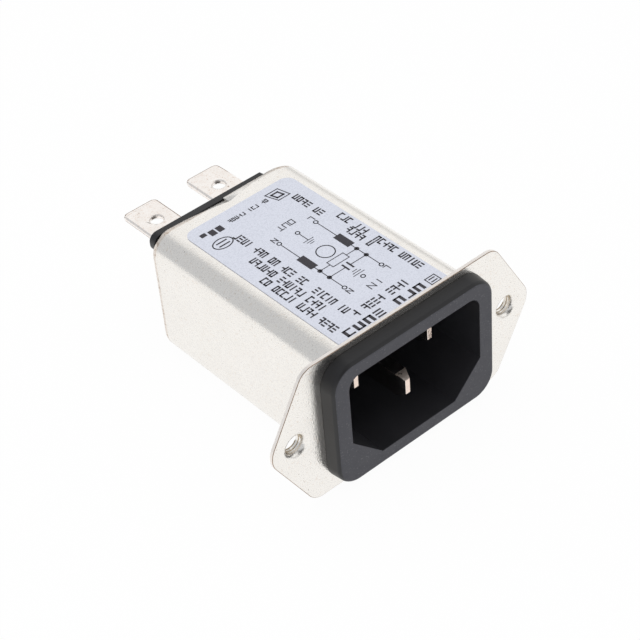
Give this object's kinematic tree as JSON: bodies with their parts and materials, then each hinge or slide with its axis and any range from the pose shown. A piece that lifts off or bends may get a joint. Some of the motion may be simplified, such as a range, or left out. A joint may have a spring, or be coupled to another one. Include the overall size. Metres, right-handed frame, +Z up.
{
  "type": "emi line filter",
  "caption": "Panel-mount mains inlet with a built-in line filter: drawn steel can with an eared flange, black keyed socket, and push-on tabs at the rear.",
  "frame": {"origin": "midway between the two screw holes, on the flange's mounting face (its rear face)", "axes": "+X right as seen from the socket side, +Y back along the can towards the tabs, +Z up; the socket faces -Y"},
  "size_m": [0.0486, 0.0551, 0.0242],
  "materials": {
    "plated_steel": "satin",
    "black_moulding": "satin",
    "plated_brass": "satin",
    "tinned_brass": "satin",
    "label_film": "matte",
    "ferrite": "matte",
    "enamelled_copper": "gloss",
    "white_plastic": "satin",
    "capacitor_case": "satin",
    "resistor_coating": "satin",
    "tinned_copper": "satin"
  },
  "bodies": {
    "root": {"housing_can": "plated_steel", "inlet_body": "black_moulding", "line_pin": "plated_brass", "neutral_pin": "plated_brass", "earth_pin": "plated_brass", "rear_plate": "black_moulding", "line_tab": "tinned_brass", "neutral_tab": "tinned_brass", "earth_tab": "tinned_brass", "label": "label_film", "choke_core": "ferrite", "line_winding": "enamelled_copper", "neutral_winding": "enamelled_copper", "winding_divider": "white_plastic", "x_capacitor": "capacitor_case", "capacitor_leads": "tinned_copper", "bleed_resistor": "resistor_coating", "resistor_leads": "tinned_copper", "line_lead_in": "enamelled_copper", "neutral_lead_in": "enamelled_copper", "line_lead_out": "enamelled_copper", "neutral_lead_out": "enamelled_copper", "earth_strap": "tinned_brass"}
  },
  "joints": []
}
